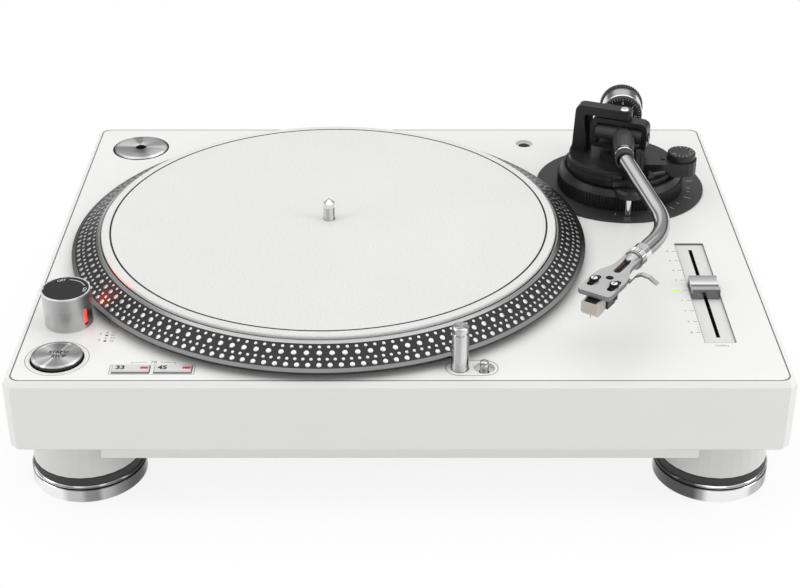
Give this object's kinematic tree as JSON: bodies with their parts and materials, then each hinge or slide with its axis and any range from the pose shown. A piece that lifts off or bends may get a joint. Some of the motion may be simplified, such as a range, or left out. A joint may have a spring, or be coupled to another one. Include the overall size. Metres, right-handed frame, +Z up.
{
  "type": "DJ turntable",
  "caption": "Direct-drive DJ turntable with strobe-dotted platter, felt slipmat, S-shaped tonearm on a gimbal, pitch fader and adjustable feet.",
  "frame": {"origin": "on the floor, under the middle of the whole outline", "axes": "+Z up, -Y towards the front with the buttons, +X towards the tonearm"},
  "size_m": [0.45, 0.3664, 0.1482],
  "materials": {
    "white_lacquer": "satin",
    "white_plastic": "satin",
    "black_plastic": "matte",
    "grey_plastic": "satin",
    "grey_metal": "satin lacquer",
    "satin_metal": "brushed",
    "weight_steel": "satin",
    "chrome": "polished",
    "polished_aluminium": "polished",
    "cast_aluminium": "satin",
    "strobe_black": "black with bright dots",
    "felt": "felt",
    "brass": "turned",
    "board_green": "lacquered board",
    "copper": "wound coils in a moulded carrier",
    "magnet": "sintered",
    "beige_plastic": "satin",
    "lamp_clear": "polished"
  },
  "bodies": {
    "chassis": {"plinth": "white_plastic", "top_panel": "white_lacquer", "base_cover": "white_plastic", "foot_post_front_left": "white_plastic", "foot_post_front_right": "white_plastic", "foot_post_rear_left": "white_plastic", "foot_post_rear_right": "white_plastic", "platter_bearing": "brass", "motor_stator": "copper", "strobe_tower": "satin_metal", "fader_unit": "black_plastic", "headshell_holder": "satin_metal", "arm_plate": "black_plastic", "jack_panel": "black_plastic", "phono_socket_left": "black_plastic", "phono_socket_right": "black_plastic", "usb_socket": "satin_metal", "mains_inlet": "black_plastic", "hinge_socket_left": "white_plastic", "hinge_socket_right": "white_plastic", "main_board": "board_green", "power_supply": "board_green"},
    "turning_platter": {"platter": "strobe_black", "spindle": "chrome", "rotor_magnet": "magnet"},
    "slipmat": {"slipmat": "felt"},
    "foot_front_left": {"foot_front_left": "chrome"},
    "foot_front_right": {"foot_front_right": "chrome"},
    "foot_rear_left": {"foot_rear_left": "chrome"},
    "foot_rear_right": {"foot_rear_right": "chrome"},
    "power_cap": {"power_cap": "satin_metal"},
    "start_button": {"start_button": "satin_metal"},
    "speed_button_33": {"speed_button_33": "satin_metal"},
    "speed_button_45": {"speed_button_45": "satin_metal"},
    "target_lamp": {"target_lamp": "lamp_clear"},
    "lamp_release": {"lamp_release": "satin_metal"},
    "fader_knob": {"fader_knob": "polished_aluminium"},
    "adaptor_45": {"adaptor_45": "satin_metal"},
    "arm_base": {"arm_base": "grey_metal", "arm_rest": "grey_plastic", "antiskate_housing": "grey_plastic", "pivot_bracket": "grey_metal", "pivot_screw": "chrome"},
    "height_ring": {"height_ring": "black_plastic"},
    "antiskate_knob": {"antiskate_knob": "grey_plastic"},
    "cue_lifter": {"cue_lifter": "black_plastic"},
    "cue_lever": {"cue_lever": "black_plastic"},
    "arm_clamp": {"arm_clamp": "grey_plastic"},
    "gimbal_yoke": {"gimbal_yoke": "grey_metal"},
    "tonearm": {"arm_housing": "grey_metal", "arm_tube": "polished_aluminium"},
    "locking_collar": {"locking_collar": "satin_metal"},
    "headshell": {"headshell": "cast_aluminium", "finger_lift": "cast_aluminium", "cartridge": "black_plastic", "stylus_unit": "beige_plastic"},
    "counterweight": {"counterweight": "weight_steel"},
    "weight_dial": {"weight_dial": "black_plastic"},
    "ground_terminal": {"ground_terminal": "satin_metal"},
    "line_switch": {"line_switch": "black_plastic"}
  },
  "joints": [
    {"name": "foot_turn_front_left", "type": "hinge", "parent": "chassis", "child": "foot_front_left", "pos_m": [-0.189, -0.1403, 0], "axis": [0, 0, 1], "range_deg": [-180, 180]},
    {"name": "foot_turn_front_right", "type": "hinge", "parent": "chassis", "child": "foot_front_right", "pos_m": [0.189, -0.1403, 0], "axis": [0, 0, 1], "range_deg": [-180, 180]},
    {"name": "foot_turn_rear_left", "type": "hinge", "parent": "chassis", "child": "foot_rear_left", "pos_m": [-0.189, 0.1253, 0], "axis": [0, 0, 1], "range_deg": [-180, 180]},
    {"name": "foot_turn_rear_right", "type": "hinge", "parent": "chassis", "child": "foot_rear_right", "pos_m": [0.189, 0.1253, 0], "axis": [0, 0, 1], "range_deg": [-180, 180]},
    {"name": "platter_spin", "type": "hinge", "parent": "chassis", "child": "turning_platter", "pos_m": [-0.0457, -0.0148, 0.1003], "axis": [0, 0, -1], "continuous": true},
    {"name": "slipmat_slip", "type": "hinge", "parent": "turning_platter", "child": "slipmat", "pos_m": [-0.0457, -0.0148, 0.1052], "axis": [0, 0, -1], "continuous": true},
    {"name": "power_turn", "type": "hinge", "parent": "chassis", "child": "power_cap", "pos_m": [-0.19818, -0.1138, 0.103], "axis": [0, 0, -1], "range_deg": [0, 60]},
    {"name": "start_press", "type": "slide", "parent": "chassis", "child": "start_button", "axis": [0, 0, -1], "range_m": [0, 0.0015], "stiffness_N_per_m": 400},
    {"name": "speed_33_press", "type": "slide", "parent": "chassis", "child": "speed_button_33", "axis": [0, 0, -1], "range_m": [0, 0.001], "stiffness_N_per_m": 300},
    {"name": "speed_45_press", "type": "slide", "parent": "chassis", "child": "speed_button_45", "axis": [0, 0, -1], "range_m": [0, 0.001], "stiffness_N_per_m": 300},
    {"name": "lamp_pop", "type": "slide", "parent": "chassis", "child": "target_lamp", "axis": [0, 0, -1], "range_m": [0, 0.026]},
    {"name": "lamp_release_press", "type": "slide", "parent": "chassis", "child": "lamp_release", "axis": [0, 0, -1], "range_m": [0, 0.003], "stiffness_N_per_m": 150},
    {"name": "pitch_slide", "type": "slide", "parent": "chassis", "child": "fader_knob", "axis": [0, 1, 0], "range_m": [-0.05, 0.05]},
    {"name": "adaptor_lift", "type": "slide", "parent": "chassis", "child": "adaptor_45", "axis": [0, 0, 1], "range_m": [0, 0.04]},
    {"name": "arm_height", "type": "slide", "parent": "chassis", "child": "arm_base", "axis": [0, 0, 1], "range_m": [0, 0.006]},
    {"name": "height_ring_turn", "type": "hinge", "parent": "chassis", "child": "height_ring", "pos_m": [0.15299, 0.07052, 0.0915], "axis": [0, 0, 1], "range_deg": [0, 300]},
    {"name": "antiskate_turn", "type": "hinge", "parent": "arm_base", "child": "antiskate_knob", "pos_m": [0.19259, 0.06092, 0.108], "axis": [0, 0, -1], "range_deg": [0, 280]},
    {"name": "cue_lift", "type": "slide", "parent": "arm_base", "child": "cue_lifter", "axis": [0, 0, 1], "range_m": [0, 0.005]},
    {"name": "cue_lever_turn", "type": "hinge", "parent": "arm_base", "child": "cue_lever", "pos_m": [0.16899, 0.04152, 0.1118], "axis": [0.3907, -0.9205, 0], "range_deg": [0, 20.1]},
    {"name": "clamp_turn", "type": "hinge", "parent": "arm_base", "child": "arm_clamp", "pos_m": [0.16279, 0.04252, 0.1167], "axis": [0, 1, 0], "range_deg": [0, 30]},
    {"name": "arm_swing", "type": "hinge", "parent": "arm_base", "child": "gimbal_yoke", "pos_m": [0.15299, 0.07052, 0.1147], "axis": [0, 0, -1], "range_deg": [0, 42]},
    {"name": "arm_tilt", "type": "hinge", "parent": "gimbal_yoke", "child": "tonearm", "pos_m": [0.15299, 0.07052, 0.1295], "axis": [-0.9272, 0.3746, 0], "range_deg": [-1.6, 8]},
    {"name": "collar_turn", "type": "hinge", "parent": "tonearm", "child": "locking_collar", "pos_m": [0.14436, -0.09966, 0.1295], "axis": [-0.5446, -0.8387, 0], "range_deg": [0, 90]},
    {"name": "headshell_pull", "type": "slide", "parent": "tonearm", "child": "headshell", "axis": [-0.5446, -0.8387, 0], "range_m": [0, 0.02]},
    {"name": "weight_slide", "type": "slide", "parent": "tonearm", "child": "counterweight", "axis": [0.0924, 0.9957, 0], "range_m": [-0.004, 0.012]},
    {"name": "dial_turn", "type": "hinge", "parent": "counterweight", "child": "weight_dial", "pos_m": [0.15592, 0.10209, 0.1295], "axis": [0.0924, 0.9957, 0], "range_deg": [-361, 1081]},
    {"name": "ground_turn", "type": "hinge", "parent": "chassis", "child": "ground_terminal", "pos_m": [-0.06, 0.1465, 0.065], "axis": [0, 1, 0], "continuous": true},
    {"name": "line_switch_slide", "type": "slide", "parent": "chassis", "child": "line_switch", "axis": [1, 0, 0], "range_m": [0, 0.003]}
  ],
  "couplings": [
    {"joint": "height_ring_turn", "follows": "arm_height", "rad_per_m": 866.85},
    {"joint": "cue_lever_turn", "follows": "cue_lift", "rad_per_m": 69.813},
    {"joint": "dial_turn", "follows": "weight_slide", "rad_per_m": 1570.8}
  ]
}
